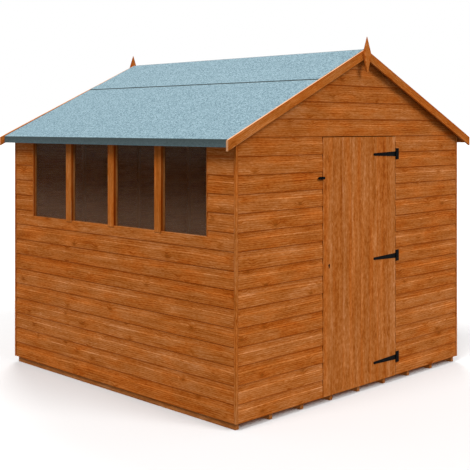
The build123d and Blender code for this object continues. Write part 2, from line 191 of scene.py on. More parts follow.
# Window trim, ironwork and screws
lining_thickness = 0.006
lining_proud = 0.0006
lining_ease = 0.001
# Depth of the painted shade on each lining's inner face, from its front.
lining_shade_depth = 0.003
bead_width = 0.020
bead_depth = 0.005
iron_arris = 0.0005
hinge_leaf = 0.0025
screw_radius = 0.0042
screw_rise = 0.0017
screw_sides = 14
screw_shares = ((1.0, 0.0), (0.94, 0.45), (0.72, 0.85), (0.40, 1.0), (0.22, 1.0), (0.16, 0.55))  # rim first
plate_screw_places = ((0.009, 0.029), (0.021, 0.011), (0.009, -0.011), (0.021, -0.029))  # in and up
strap_screw_shares = (0.07, 0.34, 0.60, 0.82)  # of the strap's length

# Light and ground
surround_strength = 0.42
ground_side = 400.0
ground_colour = (0.66, 0.66, 0.66, 1.0)
ground_roughness = 0.9
ground_specular = 0.1
suns = (  # direction, strength and softness in degrees
    ("key", (-0.20, 0.89, -0.75), 2.21, 30.0),
    ("fill", (0.80, 0.15, -1.05), 2.75, 32.0),
    ("back", (-0.55, -0.70, -0.70), 1.9, 28.0),
)

# Camera, from the photograph's own frame
image_side = 470
focal_pixels = 950.0
horizon_row = 126.75
near_corner_offset = 0.00555  # to the right of the optical axis
near_corner_distance = 5.605
camera_height = 1.801
camera_turn = radians(45.06)
sensor_width = 36.0

# Meshes


def new_bmesh():
    """An empty mesh whose points carry grain, tone and edge."""
    bm = bmesh.new()
    add_layers(bm)
    return bm


def add_layers(bm):
    """Adds the attributes that the wood materials read."""
    bm.verts.layers.float_vector.new("grain")
    bm.verts.layers.float.new("tone")
    bm.verts.layers.float.new("edge")


def wood_layers(bm):
    """The layers of a mesh that hold grain, tone and edge."""
    layers = bm.verts.layers
    return layers.float_vector["grain"], layers.float["tone"], layers.float["edge"]


def board_look(draw):
    """Random tone and grain offset of one board."""
    tone = max(-1.0, min(1.0, draw.gauss(0, tone_spread)))
    return tone, Vector([draw.uniform(0, grain_room) for _ in range(3)])


def join_rows(bm, rows):
    """Joins rows of points into a closed solid."""
    count = len(rows[0])
    for row, following in zip(rows, rows[1:]):
        for i in range(count):
            j = (i + 1) % count
            bm.faces.new((row[i], row[j], following[j], following[i]))
    bm.faces.new(rows[0])
    bm.faces.new(rows[-1][::-1])


def add_solid(bm, rings, look):
    """Adds a closed solid through rings of points, each with its place in the grain and its edge value."""
    grain_layer, tone_layer, edge_layer = wood_layers(bm)
    tone, shift = look
    rows = []
    for ring in rings:
        row = []
        for point, grain, edge in ring:
            vert = bm.verts.new(point)
            vert[grain_layer] = Vector(grain) + shift
            vert[tone_layer] = tone
            vert[edge_layer] = edge
            row.append(vert)
        rows.append(row)
    join_rows(bm, rows)


def mesh_from(bm, name):
    """The mesh that was built, with its working copy freed."""
    mesh = bpy.data.meshes.new(name)
    bm.to_mesh(mesh)
    bm.free()
    return mesh


def add_object(name, data):
    """A new object in the scene."""
    added = bpy.data.objects.new(name, data)
    bpy.context.scene.collection.objects.link(added)
    return added


def finish_piece(bm, name, body, material, stands_for=(), smooth_angle=28):
    """Turns a built mesh into a piece that rides on a body of the frame."""
    bmesh.ops.remove_doubles(bm, verts=bm.verts, dist=join_distance)
    bmesh.ops.recalc_face_normals(bm, faces=bm.faces)
    mesh = mesh_from(bm, name)
    mesh.materials.append(material)
    mesh.shade_smooth()
    mesh.set_sharp_from_angle(angle=radians(smooth_angle))
    piece = add_object(name, mesh)
    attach(piece, body)
    if stands_for:
        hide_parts(*stands_for)
    return piece


def islands(bm):
    """Separate solids of a mesh, as lists of points."""
    left = set(bm.verts)
    found = []
    while left:
        todo = [left.pop()]
        solid = []
        while todo:
            vert = todo.pop()
            solid.append(vert)
            for edge in vert.link_edges:
                other = edge.other_vert(vert)
                if other in left:
                    left.remove(other)
                    todo.append(other)
        found.append(solid)
    return found


def solid_boxes(node):
    """Lowest and highest corners of each solid of a node, from the lowest solid up."""
    bm = bmesh.new()
    bm.from_mesh(nodes[node].data)
    bmesh.ops.remove_doubles(bm, verts=bm.verts, dist=weld_distance)
    boxes = []
    for solid in islands(bm):
        low = Vector([min(vert.co[axis] for vert in solid) for axis in range(3)])
        high = Vector([max(vert.co[axis] for vert in solid) for axis in range(3)])
        boxes.append((low, high))
    bm.free()
    return sorted(boxes, key=lambda box: box[0].z)


def even_places(low, high, spacing=station_spacing):
    """Places between two ends, about one spacing apart."""
    count = max(1, round((high - low) / spacing))
    return [low + (high - low) * i / count for i in range(count + 1)]


# Shader nodes


def put(tree, kind, inputs=None, **settings):
    """Adds a shader node, sets its options and feeds its inputs from values or from other nodes."""
    node = tree.nodes.new(kind)
    for option, value in settings.items():
        setattr(node, option, value)
    for key, value in (inputs or {}).items():
        if isinstance(value, bpy.types.NodeSocket):
            tree.links.new(value, node.inputs[key])
        else:
            node.inputs[key].default_value = value
    return node


def calc(tree, operation, first, second=0.0, third=0.0):
    """Result of a sum on up to three values."""
    return put(tree, "ShaderNodeMath", {0: first, 1: second, 2: third}, operation=operation).outputs[0]


def scaled(tree, vector, scale):
    """A vector with each part multiplied by a part of the scale."""
    return put(tree, "ShaderNodeVectorMath", {0: vector, 1: scale}, operation="MULTIPLY").outputs[0]


def noise_at(tree, vector, detail, roughness):
    """Noise about 0.5 at a place."""
    inputs = {"Vector": vector, "Scale": 1.0, "Detail": detail, "Roughness": roughness}
    return put(tree, "ShaderNodeTexNoise", inputs).outputs[0]


def stretched_noise(tree, vector, along, across, detail=2.0, roughness=0.5):
    """Noise with its own scales along and across the grain."""
    return noise_at(tree, scaled(tree, vector, (along, across, across)), detail, roughness)


def ranged(tree, value, low, high, to_low, to_high):
    """A value moved smoothly from one range to another, and held at its ends."""
    inputs = {"Value": value, "From Min": low, "From Max": high, "To Min": to_low, "To Max": to_high}
    return put(tree, "ShaderNodeMapRange", inputs, interpolation_type="SMOOTHSTEP").outputs[0]


def mixed(tree, share, first, second, blend="MIX"):
    """Two colours mixed by a share."""
    inputs = {0: share, 6: first, 7: second}
    return put(tree, "ShaderNodeMix", inputs, data_type="RGBA", blend_type=blend).outputs[2]


def ramped(tree, value, stops):
    """A colour read from a list of places and colours."""
    node = put(tree, "ShaderNodeValToRGB", {0: value})
    ramp = node.color_ramp
    while len(ramp.elements) < len(stops):
        ramp.elements.new(0.5)
    for element, (place, colour) in zip(ramp.elements, stops):
        element.position = place
        element.color = (*colour, 1.0)
    return node.outputs[0]


def attribute(tree, name, output):
    """An attribute of the mesh."""
    return put(tree, "ShaderNodeAttribute", attribute_name=name).outputs[output]


def summed(tree, start, parts):
    """A value plus shares of noises, each counted from its middle."""
    value = start
    for part, share in parts:
        value = calc(tree, "MULTIPLY_ADD", calc(tree, "SUBTRACT", part, 0.5), share, value)
    return value


def new_material(name):
    """A node material with one shader, and its tree."""
    material = bpy.data.materials.new(name)
    material.use_nodes = True
    tree = material.node_tree
    return material, tree, tree.nodes["Principled BSDF"]


def set_surface(shader, colour, roughness, specular, height=None, bump=(0.0, 0.0)):
    """Feeds a shader its colour, its roughness and, with a height, a bump of a strength and a distance."""
    tree = shader.id_data
    tree.links.new(colour, shader.inputs["Base Color"])
    tree.links.new(roughness, shader.inputs["Roughness"])
    shader.inputs["Specular IOR Level"].default_value = specular
    if height:
        inputs = {"Strength": bump[0], "Distance": bump[1], "Height": height}
        tree.links.new(put(tree, "ShaderNodeBump", inputs).outputs[0], shader.inputs["Normal"])


# Materials

cladding_stops = (
    (0.02, (0.192, 0.031, 0.0015)),
    (0.30, (0.285, 0.067, 0.0042)),
    (0.52, (0.356, 0.102, 0.0155)),
    (0.74, (0.415, 0.136, 0.0315)),
    (0.98, (0.532, 0.205, 0.0685)),
)
trim_stops = (
    (0.02, (0.195, 0.038, 0.002)),
    (0.30, (0.290, 0.070, 0.005)),
    (0.52, (0.352, 0.096, 0.012)),
    (0.74, (0.410, 0.128, 0.024)),
    (0.98, (0.525, 0.200, 0.062)),
)
frame_stops = (
    (0.02, (0.172, 0.046, 0.008)),
    (0.30, (0.255, 0.076, 0.014)),
    (0.52, (0.308, 0.098, 0.021)),
    (0.74, (0.368, 0.130, 0.034)),
    (0.98, (0.480, 0.200, 0.068)),
)
# Shaded copy of the wood colours for the window beads, which sit in shade: painted shade.
shaded_stops = (
    (0.02, (0.060, 0.015, 0.002)),
    (0.50, (0.125, 0.036, 0.005)),
    (0.98, (0.230, 0.080, 0.018)),
)
hue_stops = (
    (0.30, (0.97, 1.04, 1.26)),
    (0.50, (1.00, 1.00, 1.00)),
    (0.68, (1.06, 0.93, 0.68)),
)
knot_colour = (0.195, 0.046, 0.002, 1.0)
# Colour of staining and painted shade where the edge is negative, and of unstained wood and painted
# highlights above 1.
stain_and_shade_colour = (0.310, 0.050, 0.0, 1.0)
bare_and_highlight_colour = (0.74, 0.52, 0.34, 1.0)

# Grain of wood, with noise scales in cells per metre along and across a board
ragged_scale = 38.0
ragged_reach = (0.020, 0.016, 0.016)
knot_scale = (6.0, 10.5, 10.5)
knot_halo = (0.07, 0.36)  # in cells
knot_core = (0.05, 0.17)
knot_odds = (0.10, 0.80)  # random values of the weakest and the strongest knots
knot_least_share = 0.20
knot_swell = 0.012  # shift of the grain beside a knot
knot_shade = 0.24
short_along = 34.0
short_across = 145.0
long_along = 3.0
long_across = 96.0
patch_across = 17.0
hue_across = 14.0
fibre_along = 26.0
fibre_across = 700.0
warp_along = 0.9
warp_across = 6.0
ring_spacing = 0.012
ring_slant = 0.6
ring_wander = 40.0  # radians
ring_sharpness = 3.0
middle_value = 0.47
tone_share = 0.09
tone_hue_share = -0.10
# Lightening by positive edges (wearing and painted highlights) and darkening by negative edges (staining and
# painted shade), both varying by patches.
wear_and_highlight_hues = (0.34, 0.62)
wear_and_highlight_strengths = (0.38, 0.10)
stain_and_shade_patches = (0.36, 0.64)
stain_and_shade_strengths = (-1.15, -0.55)
streak_range = (0.25, 0.75)
wood_roughness = (0.80, 0.62)
wood_specular = 0.04
wood_bump = (0.35, 0.0006)  # strength and distance


def wood(name, stops, knots=0.75, contrast=1.0, band=1.0, figure=4.2):
    """Stained softwood: streaks that bend round knots, growth rings and fibres along the grain."""
    material, tree, shader = new_material(name)
    place = attribute(tree, "grain", "Vector")
    tone = attribute(tree, "tone", "Fac")
    edge = attribute(tree, "edge", "Fac")

    ragged = put(tree, "ShaderNodeTexNoise", {"Vector": place, "Scale": ragged_scale, "Detail": 2.0})
    ragged = scaled(tree, ragged.outputs["Color"], ragged_reach)
    loose = put(tree, "ShaderNodeVectorMath", {0: place, 1: ragged}, operation="ADD").outputs[0]
    cells = put(tree, "ShaderNodeTexVoronoi", {"Vector": scaled(tree, loose, knot_scale), "Scale": 1.0})
    distance = cells.outputs["Distance"]
    strength = put(tree, "ShaderNodeSeparateColor", {0: cells.outputs["Color"]}).outputs[0]
    strength = ranged(tree, strength, *knot_odds, knot_least_share * knots, knots)
    halo = ranged(tree, distance, *knot_halo, 1.0, 0.0)
    core = ranged(tree, distance, *knot_core, 1.0, 0.0)

    swell = calc(tree, "MULTIPLY", halo, knot_swell)
    swell = put(tree, "ShaderNodeCombineXYZ", {1: swell}).outputs[0]
    bent = put(tree, "ShaderNodeVectorMath", {0: place, 1: swell}, operation="ADD").outputs[0]
    short = stretched_noise(tree, bent, short_along, short_across * band, 3.0, 0.62)
    long = stretched_noise(tree, bent, long_along, long_across * band, 3.0, 0.55)
    patch = stretched_noise(tree, place, figure, patch_across)
    hue = stretched_noise(tree, place, figure, hue_across)
    hue = calc(tree, "MULTIPLY_ADD", tone, tone_hue_share, hue)
    fibre = stretched_noise(tree, bent, fibre_along, fibre_across, 3.0, 0.65)
    warp = stretched_noise(tree, place, warp_along, warp_across, 1.5)

    parts = put(tree, "ShaderNodeSeparateXYZ", {0: bent}).outputs
    across = calc(tree, "MULTIPLY_ADD", parts[2], ring_slant, parts[1])
    phase = calc(tree, "MULTIPLY", across, 2 * pi / ring_spacing)
    phase = calc(tree, "MULTIPLY_ADD", warp, ring_wander, phase)
    rings = calc(tree, "MULTIPLY_ADD", calc(tree, "SINE", phase), 0.5, 0.5)
    rings = calc(tree, "POWER", rings, ring_sharpness)

    value = calc(tree, "MULTIPLY_ADD", tone, tone_share, middle_value)
    shares = ((short, 1.02), (long, 0.72), (patch, 0.66), (fibre, 0.80), (rings, -0.26))
    value = summed(tree, value, [(part, share * contrast) for part, share in shares])
    shade = calc(tree, "MULTIPLY", calc(tree, "MULTIPLY", halo, strength), knot_shade)
    value = calc(tree, "SUBTRACT", value, shade)
    # Positive edge values lighten: wearing and painted highlights on arrises and board ends.
    wear_and_highlight = calc(tree, "MINIMUM", calc(tree, "MAXIMUM", edge, 0.0), 1.0)
    wear_and_highlight_strength = ranged(tree, hue, *wear_and_highlight_hues, *wear_and_highlight_strengths)
    value = calc(tree, "MULTIPLY_ADD", wear_and_highlight, wear_and_highlight_strength, value)
    colour = ramped(tree, value, stops)
    colour = mixed(tree, 1.0, colour, ramped(tree, hue, hue_stops), "MULTIPLY")
    colour = mixed(tree, calc(tree, "MULTIPLY", core, strength), colour, knot_colour)
    # Negative edge values darken: staining and painted shade in joints, reveals, corners and under the
    # bargeboards.
    stain_and_shade_strength = ranged(tree, patch, *stain_and_shade_patches, *stain_and_shade_strengths)
    stain_and_shade = calc(tree, "MAXIMUM", calc(tree, "MULTIPLY", edge, stain_and_shade_strength), 0.0)
    colour = mixed(tree, stain_and_shade, colour, stain_and_shade_colour)
    # Edge values above 1 turn pale: unstained wood and painted highlights on top faces and arrises.
    overlay_share = calc(tree, "MAXIMUM", calc(tree, "SUBTRACT", edge, 1.0), 0.0)
    colour = mixed(tree, overlay_share, colour, bare_and_highlight_colour)
    roughness = ranged(tree, long, *streak_range, *wood_roughness)
    height = summed(tree, rings, ((fibre, 1.2), (long, 2.0), (short, 1.5)))
    set_surface(shader, colour, roughness, wood_specular, height, wood_bump)
    return material


felt_stops = (
    (0.0, (0.066, 0.116, 0.144)),
    (0.5, (0.144, 0.230, 0.270)),
    (1.0, (0.262, 0.375, 0.422)),
)
fold_colour = (0.046, 0.063, 0.063, 1.0)
granule_scale = 150.0
mottle_scale = 110.0
cloud_scale = 9.0
lit_edge_share = 0.30
felt_specular = 0.15
felt_bump = (0.4, 0.0012)


def felt(name):
    """Roofing felt covered with mineral granules, dark and without granules where it folds down, with a
    painted highlight just above the fold.
    """
    material, tree, shader = new_material(name)
    place = attribute(tree, "grain", "Vector")
    edge = attribute(tree, "edge", "Fac")
    granules = put(tree, "ShaderNodeTexVoronoi", {"Vector": place, "Scale": granule_scale})
    grain = put(tree, "ShaderNodeSeparateColor", {0: granules.outputs["Color"]}).outputs[0]
    mottle = stretched_noise(tree, place, mottle_scale, mottle_scale, 3.0, 0.7)
    cloud = stretched_noise(tree, place, cloud_scale, cloud_scale)
    value = summed(tree, 0.5, ((grain, 0.70), (mottle, 1.05), (cloud, 0.05)))
    value = calc(tree, "MULTIPLY_ADD", calc(tree, "MAXIMUM", edge, 0.0), lit_edge_share, value)
    colour = ramped(tree, value, felt_stops)
    overlay_share = calc(tree, "MAXIMUM", calc(tree, "MULTIPLY", edge, -1.0), 0.0)
    colour = mixed(tree, overlay_share, colour, fold_colour)
    roughness = ranged(tree, grain, 0.0, 1.0, 0.95, 0.82)
    height = summed(tree, granules.outputs["Distance"], ((mottle, 0.8),))
    set_surface(shader, colour, roughness, felt_specular, height, felt_bump)
    return material


coat_stops = (
    (0.30, (0.0008, 0.0008, 0.0010)),
    (0.75, (0.0032, 0.0032, 0.0036)),
)
coat_scale = 160.0
coat_specular = 0.03
coat_bump = (0.25, 0.0004)


def iron(name):
    """Black japanned steel with a slightly uneven coat."""
    material, tree, shader = new_material(name)
    place = put(tree, "ShaderNodeTexCoord").outputs["Object"]
    coat = stretched_noise(tree, place, coat_scale, coat_scale, 4.0, 0.6)
    colour = ramped(tree, coat, coat_stops)
    roughness = ranged(tree, coat, 0.3, 0.7, 0.40, 0.62)
    set_surface(shader, colour, roughness, coat_specular, coat, coat_bump)
    return material


# Film colours, also carrying painted light: a painted reflection of the ground low down and lightening under
# the head.
film_and_light_stops = (
    (0.0, (0.052, 0.012, 0.0)),
    (1.0, (0.252, 0.136, 0.080)),
)
film_scale = (16.0, 16.0, 1.3)
# Lighter towards the foot (thicker film and painted reflection of the ground) and under the head (painted
# light against the eaves' shadow).
foot_film_and_reflection_shares = (0.02, 0.56)  # of the panes' height
foot_film_and_reflection_strengths = (0.84, 0.12)
head_painted_light_shares = (0.68, 0.92)
head_painted_light_strengths = (0.0, 0.85)
glazing_specular = 0.05
glazing_alpha = 0.2


def glazing(name):
    """Clear glazing sheet with a faint dusty film, lighter towards its foot as a thicker film and a painted
    reflection of the ground, and lighter under its head as painted light against the eaves' shadow.
    """
    material, tree, shader = new_material(name)
    place = put(tree, "ShaderNodeTexCoord").outputs["Object"]
    film = noise_at(tree, scaled(tree, place, film_scale), 3.0, 0.55)
    height = put(tree, "ShaderNodeSeparateXYZ", {0: place}).outputs[2]
    rise = pane_high.z - pane_low.z
    foot_film_and_reflection_places = [pane_low.z + share * rise for share in foot_film_and_reflection_shares]
    head_painted_light_places = [pane_low.z + share * rise for share in head_painted_light_shares]
    # Painted reflection of the ground at the foot, with thicker film, and painted light under the head.
    foot_film_and_reflection = ranged(tree, height, *foot_film_and_reflection_places, *foot_film_and_reflection_strengths)
    head_painted_light = ranged(tree, height, *head_painted_light_places, *head_painted_light_strengths)
    film_and_light = summed(tree, calc(tree, "ADD", foot_film_and_reflection, head_painted_light), ((film, 0.5),))
    colour = ramped(tree, film_and_light, film_and_light_stops)
    set_surface(shader, colour, ranged(tree, film, 0.3, 0.7, 0.04, 0.12), glazing_specular)
    shader.inputs["Alpha"].default_value = glazing_alpha
    return material


cladding_wood = wood("cladding_wood", cladding_stops)
door_wood = wood("door_wood", cladding_stops, knots=0.45, contrast=1.1, band=0.40, figure=0.9)
trim_wood = wood("trim_wood", trim_stops, knots=0.35)
frame_wood = wood("frame_wood", frame_stops)
shaded_wood = wood("shaded_wood", shaded_stops, knots=0.5)
plank_wood = wood("plank_wood", frame_stops)
roof_felt = felt("roof_felt")
black_iron = iron("black_iron")
window_glazing = glazing("window_glazing")

# Walls

side_low, side_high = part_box("left_wall")
gable_low, gable_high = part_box("front_gable")
apex = gable_high.z
half_width = -side_low.x
frame_face = half_width - cladding_thickness
wall_end = side_high.y - board_end_gap


def shiplap_section():
    """Section of a shiplap board from the foot of its lip: outward place, height and edge value."""
    face = cladding_thickness
    cove = board_cover - flat_height
    depth = face - tongue_thickness
    tip = board_cover + tongue_rise
    # Edge values: darker at the lip's foot and up the tongue (staining and painted shade in the joint),
    # lighter at the arris (wearing and a painted highlight).
    points = [
        (lip_back, 0.0, -1.0),
        (face - lip_round, 0.0, -0.90),
        (face - lip_round / 6, lip_round / 2, -0.60),
        (face, lip_round * 5 / 3, -0.35),
        (face, lip_stain_and_shade_height, 0.0),
        (face, flat_height / 2, 0.0),
        (face, flat_height - arris_round, 0.0),
        (face - arris_round / 9, flat_height - arris_round * 5 / 18, 0.55),
        (face - arris_round * 11 / 18, flat_height + arris_round * 7 / 18, 0.75),
    ]
    for depth_share, height_share, edge in cove_shares:
        points.append((tongue_thickness + depth * depth_share, flat_height + cove * height_share, edge))
    points += [
        (tongue_thickness, board_cover, -0.90),
        (tongue_thickness, tip, -1.0),
        (0.0, tip, 0.0),
        (0.0, rebate_height, 0.0),
        (lip_back, rebate_height, -1.0),
    ]
    return points


section = shiplap_section()


def shiplap_board(bm, place, foot, stations, draw):
    """Adds one board. A station is a place along the wall or a function of the height, a top and an edge
    change.

    An edge change above zero darkens an end: staining, and on the gables painted shade under the bargeboards.
    One below zero lightens an end: a painted highlight at the doorway right of the door.
    """
    look = board_look(draw)
    seed = draw.uniform(0, sway_room)
    rings = []
    for reach, top, edge_change in stations:
        ring = []
        for out, rise, edge in section:
            low_rise = min(rise, top)
            up = foot + low_rise
            along = reach(up) if callable(reach) else reach
            wave = sway_up * noise.noise((along * sway_up_pace, seed, 0.0))
            bulge = sway_out * noise.noise((along * sway_out_pace, seed, sway_out_layer))
            if low_rise < rise:
                edge = cut_wear
            if edge_change > 0:
                edge = min(edge, -edge_change)
            elif edge_change < 0:
                edge = -edge_change
            ring.append((place(along, out + bulge, up + wave), (along, low_rise, out), edge))
        rings.append(ring)
    add_solid(bm, rings, look)


def board_stations(low, high, top, low_end_change=end_stain, high_end_change=end_stain):
    """Stations of a plain board, with an edge change at each end that fades away from it."""
    places = even_places(low + end_change_length, high - end_change_length)
    return [(low, top, low_end_change)] + [(along, top, 0.0) for along in places] + [(high, top, high_end_change)]


def courses(node, top):
    """Foot and height, tongue included, of each course of boards on a wall up to a limit."""
    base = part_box(node)[0].z
    feet = []
    while base + len(feet) * board_cover < top - least_course:
        feet.append(base + len(feet) * board_cover)
    return [(foot, min(top - foot, board_cover + tongue_rise)) for foot in feet]


def clad(node, place, top, boards, seed):
    """Covers a wall. Boards gives the stations of each board of a course from its foot and height."""
    draw = random.Random(seed)
    bm = new_bmesh()
    for foot, height in courses(node, top):
        for stations in boards(foot, height):
            shiplap_board(bm, place, foot, stations, draw)
    finish_piece(bm, f"{node}_boards", "shed", cladding_wood, [node])


def square_boards(low, high, end_changes=(end_stain, end_stain)):
    """A function that gives a course of a wall panel with upright ends."""
    return lambda foot, height: [board_stations(low, high, height, *end_changes)]


def window_wall_boards(foot, height):
    """A course of the wall that has the window row cut into it, with room for the linings beside the row."""
    left_end = pane_low.y - lining_thickness
    right_end = pane_high.y + lining_thickness
    notch = pane_low.z - foot
    if notch >= height:
        return [board_stations(-wall_end, wall_end, height)]
    left = board_stations(-wall_end, left_end, height)
    right = board_stations(right_end, wall_end, height)
    if notch <= 0:
        return [left, right]
    sill = [(along, notch, 0.0) for along in even_places(left_end, right_end)]
    return [left[:-1] + [(left_end, height, 0.0)] + sill + [(right_end, height, 0.0)] + right[1:]]


def gable_reach(up):
    """Half the width of a gable wall at a height, cut to the roof."""
    return max(0.0, min(wall_end, (apex - up) / slope))


def gable_boards(foot, height):
    """A course of a gable, cut to the slopes of the roof."""
    reach = gable_inner_share * gable_reach(foot + height)
    inner = [(along, height, 0.0) for along in even_places(-reach, reach)]
    # The ends under the bargeboards are darkened, fading out towards the inner share: end staining and
    # painted shade of the bargeboards.
    left_end = (lambda up: -gable_reach(up), height, gable_end_stain_and_shade)
    right_end = (gable_reach, height, gable_end_stain_and_shade)
    return [[left_end] + inner + [right_end]]


def wall_place(outward, sideways):
    """A function that gives points on a wall, from places along it, out of its frame's face and up."""

    def place(along, out, up):
        return outward * (frame_face + out) + sideways * along + Vector((0.0, 0.0, up))

    return place


along_x = Vector((1.0, 0.0, 0.0))
along_y = Vector((0.0, 1.0, 0.0))
on_left = wall_place(-along_x, along_y)
on_right = wall_place(along_x, along_y)
on_front = wall_place(-along_y, along_x)
on_back = wall_place(along_y, along_x)
side_top = side_high.z - side_wall_gap
gable_top = apex - apex_gap
door_head = gable_low.z
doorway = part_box("front_wall_right")[0].x
left_of_door = square_boards(-wall_end, -doorway, left_of_door_stains)
right_of_door = square_boards(doorway, wall_end, right_of_door_stain_and_light)
clad("left_wall", on_left, side_top, window_wall_boards, seed=11)
clad("right_wall", on_right, side_top, square_boards(-wall_end, wall_end), seed=12)
clad("front_wall_left", on_front, door_head, left_of_door, seed=14)
clad("front_wall_right", on_front, door_head, right_of_door, seed=15)
clad("front_gable", on_front, gable_top, gable_boards, seed=16)
clad("back_wall", on_back, gable_top, gable_boards, seed=13)

# Planks


def plank_section(width, thickness, first, last, joint):
    """Section of a tongued and grooved plank: across, outward and edge value."""
    low, high = (share * thickness for share in groove_shares)
    end = width if last else width - plank_gap
    points = [(0.0, 0.0, joint)]
    if not first:
        points += [(0.0, low, -1.0), (plank_tongue, low, -1.0)]
        points += [(plank_tongue, high, -1.0), (0.0, high, -1.0)]
    points += [(0.0, thickness - plank_arris, joint), (plank_arris, thickness, joint)]
    points += [(3 * plank_arris, thickness, 0.0), (end - 3 * plank_arris, thickness, 0.0)]
    points += [(end - plank_arris, thickness, joint), (end, thickness - plank_arris, joint)]
    if not last:
        reach = end + plank_tongue - plank_gap
        inset = plank_gap / 2
        points += [(end, high - inset, -1.0), (reach, high - inset, -1.0)]
        points += [(reach, low + inset, -1.0), (end, low + inset, -1.0)]
    points.append((end, 0.0, joint))
    return points


def planks(bm, count, width, thickness, place, low, high, looks, joint=plank_joint_stain):
    """Adds a row of planks from low to high. Place turns across, outward and along into a point."""
    for index in range(count):
        outline = plank_section(width, thickness, index == 0, index == count - 1, joint)
        rings = []
        for along in even_places(low, high):
            ring = []
            for across, out, edge in outline:
                ring.append((place(index * width + across, out, along), (along, across, out), edge))
            rings.append(ring)
        add_solid(bm, rings, looks[index])


def plank_looks(count, seed):
    """Looks of a row of planks."""
    draw = random.Random(seed)
    return [board_look(draw) for _ in range(count)]


def lay_floor():
    """Floor boards across the bearers."""
    low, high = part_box("floor")
    bm = new_bmesh()
    width = (high.y - low.y) / floor_plank_count

    def place(across, out, along):
        return Vector((along, low.y + across, low.z + out))

    looks = plank_looks(floor_plank_count, seed=21)
    planks(bm, floor_plank_count, width, high.z - low.z, place, low.x, high.x, looks)
    finish_piece(bm, "floor_planks", "shed", plank_wood, ["floor"])


def lay_deck(side, hand):
    """Roof boards of one slope, with their chamfered faces down."""
    node = f"roof_deck_{hand}"
    low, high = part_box(node)
    length = (high.x - low.x) / cos(roof_pitch) - deck_thickness * tan(roof_pitch)
    width = length / deck_plank_count

    def place(across, out, along):
        lift = deck_thickness - out
        x = across * cos(roof_pitch) + lift * sin(roof_pitch)
        z = apex - across * sin(roof_pitch) + lift * cos(roof_pitch)
        return Vector((side * x, along, z))

    bm = new_bmesh()
    looks = plank_looks(deck_plank_count, seed=23 + side)
    planks(bm, deck_plank_count, width, deck_thickness, place, low.y, high.y, looks)
    finish_piece(bm, f"roof_planks_{hand}", "shed", plank_wood, [node])


lay_floor()
lay_deck(-1, "left")
lay_deck(1, "right")

# Door

door_low, door_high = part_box("door")
door_plank_width = (door_high.x - door_low.x) / door_plank_count


def keyhole_outline():
    """Keyhole about its own middle: a round hole over a straight slot."""
    points = []
    for step in range(keyhole_steps + 1):
        angle = -pi / 2 + keyhole_mouth + (2 * pi - 2 * keyhole_mouth) * step / keyhole_steps
        points.append((keyhole_radius * cos(angle), keyhole_radius * sin(angle)))
    points.append((-keyhole_slot_half, -keyhole_slot_drop))
    points.append((keyhole_slot_half, -keyhole_slot_drop))
    return points


def keyhole_prism(centre_x, centre_z, near, far, spread=1.0):
    """A mesh of the keyhole's shape between two places along Y."""
    bm = bmesh.new()
    rows = []
    outline = keyhole_outline()
    for y in (near, far):
        rows.append([bm.verts.new((centre_x + spread * x, y, centre_z + spread * z)) for x, z in outline])
    join_rows(bm, rows)
    bmesh.ops.recalc_face_normals(bm, faces=bm.faces)
    return bm


def paint_door(mesh, looks):
    """Writes the grain and tone of each plank again, also for the points that the keyhole added."""
    for index, vert in enumerate(mesh.vertices):
        offset = vert.co.x - door_low.x
        plank = max(0, min(door_plank_count - 1, int(offset / door_plank_width)))
        tone, shift = looks[plank]
        place = Vector((vert.co.z, offset - plank * door_plank_width, -frame_face - vert.co.y))
        mesh.attributes["grain"].data[index].vector = place + shift
        mesh.attributes["tone"].data[index].value = tone


def hang_door():
    """Upright door boards with the keyhole cut through, and black metal of the lock behind it."""
    looks = plank_looks(door_plank_count, seed=31)
    bm = new_bmesh()

    def place(across, out, along):
        return Vector((door_low.x + across, -frame_face - out, along))

    planks(
        bm, door_plank_count, door_plank_width, cladding_thickness, place, door_low.z, door_high.z, looks,
        door_joint_stain,
    )
    lock_low, lock_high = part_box("door_lock")
    keyhole = (door_low.x + keyhole_setback, (lock_low.z + lock_high.z) / 2)
    prism = keyhole_prism(*keyhole, -half_width - cut_overrun, -frame_face + cut_overrun)
    cutter = add_object("keyhole_cutter", mesh_from(prism, "keyhole_cutter"))
    door = finish_piece(bm, "door_planks", "door", door_wood, ["door"])
    cut = door.modifiers.new("keyhole", "BOOLEAN")
    cut.object = cutter
    cut.operation = "DIFFERENCE"
    cut.solver = "EXACT"
    whole = door.evaluated_get(bpy.context.evaluated_depsgraph_get())
    old_mesh = door.data
    door.data = bpy.data.meshes.new_from_object(whole)
    door.modifiers.clear()
    paint_door(door.data, looks)
    bpy.data.meshes.remove(old_mesh)
    bpy.data.objects.remove(cutter)
    metal = keyhole_prism(*keyhole, -half_width + keyhole_depth, -frame_face, keyhole_metal_share)
    finish_piece(metal, "keyhole_metal", "door", black_iron)


hang_door()

# Sticks of timber


def first_corner(solid):
    """Place of a solid in a sorted list: its first point."""
    return tuple(round(part, 4) for part in min(vert.co[:] for vert in solid))


